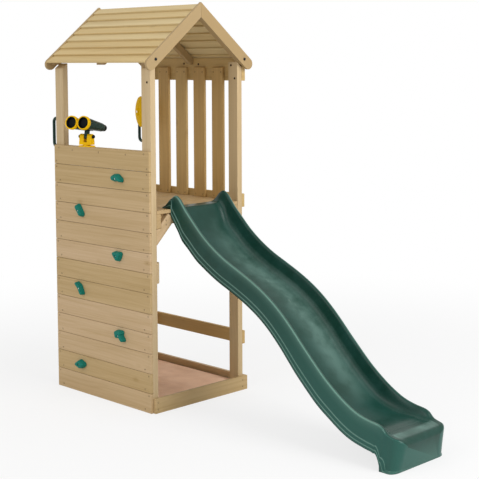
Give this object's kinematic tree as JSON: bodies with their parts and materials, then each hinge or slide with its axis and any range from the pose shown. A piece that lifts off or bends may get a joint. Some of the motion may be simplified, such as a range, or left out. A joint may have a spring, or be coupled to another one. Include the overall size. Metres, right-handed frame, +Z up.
{
  "type": "play tower",
  "caption": "Timber play tower with a lapped roof, climbing wall, sandpit, ladder, slat side, wavy plastic slide, play binoculars and a steering wheel.",
  "frame": {"origin": "middle of the bounding box on the ground", "axes": "+Z up, +Y from the slide's foot to the ladder side, -X towards the climbing wall"},
  "size_m": [0.9298, 2.6753, 2.4348],
  "materials": {
    "post_timber": "satin",
    "wall_timber": "satin",
    "rail_timber": "satin",
    "roof_timber": "satin",
    "slide_plastic": "satin",
    "hold_plastic": "satin",
    "green_plastic": "satin",
    "yellow_plastic": "satin",
    "black_plastic": "satin",
    "sand": "satin",
    "bolt_steel": "satin"
  },
  "bodies": {
    "tower": {"post_front_left": "post_timber", "post_front_right": "post_timber", "post_back_left": "post_timber", "post_back_right": "post_timber", "climbing_wall_boards": "wall_timber", "wall_top_rail": "post_timber", "wall_mid_rail": "post_timber", "deck_joists": "post_timber", "deck_beams": "post_timber", "deck_boards": "wall_timber", "front_knee_braces": "post_timber", "back_knee_braces": "post_timber", "balustrade_top_beam": "rail_timber", "balustrade_bottom_rail": "rail_timber", "balustrade_slats": "rail_timber", "lower_side_rail": "rail_timber", "sandpit_front_board": "wall_timber", "sandpit_back_board": "wall_timber", "sandpit_side_board": "wall_timber", "sand_fill": "sand", "roof_boards_left": "roof_timber", "roof_boards_right": "roof_timber", "front_bargeboards": "post_timber", "back_bargeboards": "post_timber", "roof_rafters": "post_timber", "gable_gussets": "post_timber", "bolt_caps": "bolt_steel", "climbing_hold_1": "hold_plastic", "climbing_hold_2": "hold_plastic", "climbing_hold_3": "hold_plastic", "climbing_hold_4": "hold_plastic", "climbing_hold_5": "hold_plastic", "climbing_hold_6": "hold_plastic", "slide": "slide_plastic", "ladder_rungs": "post_timber", "grab_handle_left": "green_plastic", "grab_handle_right": "green_plastic", "wheel_bracket": "green_plastic", "binocular_base": "green_plastic"},
    "wheel": {"steering_wheel": "yellow_plastic"},
    "binocular_mount": {"binocular_yoke": "yellow_plastic"},
    "binoculars": {"binocular_frame": "green_plastic", "binocular_barrels": "green_plastic", "binocular_rings": "yellow_plastic", "binocular_eyepieces": "black_plastic"}
  },
  "joints": [
    {"name": "steering_wheel_turn", "type": "hinge", "parent": "tower", "child": "wheel", "pos_m": [0.36146, 1.221, 1.749], "axis": [-0.9205, 0.3907, 0], "continuous": true},
    {"name": "binocular_swivel", "type": "hinge", "parent": "tower", "child": "binocular_mount", "pos_m": [-0.33654, 0.981, 1.623], "axis": [0, 0, 1], "continuous": true},
    {"name": "binocular_tilt", "type": "hinge", "parent": "binocular_mount", "child": "binoculars", "pos_m": [-0.33654, 0.981, 1.623], "axis": [-0.309, 0.9511, 0], "range_deg": [-25, 20]}
  ]
}
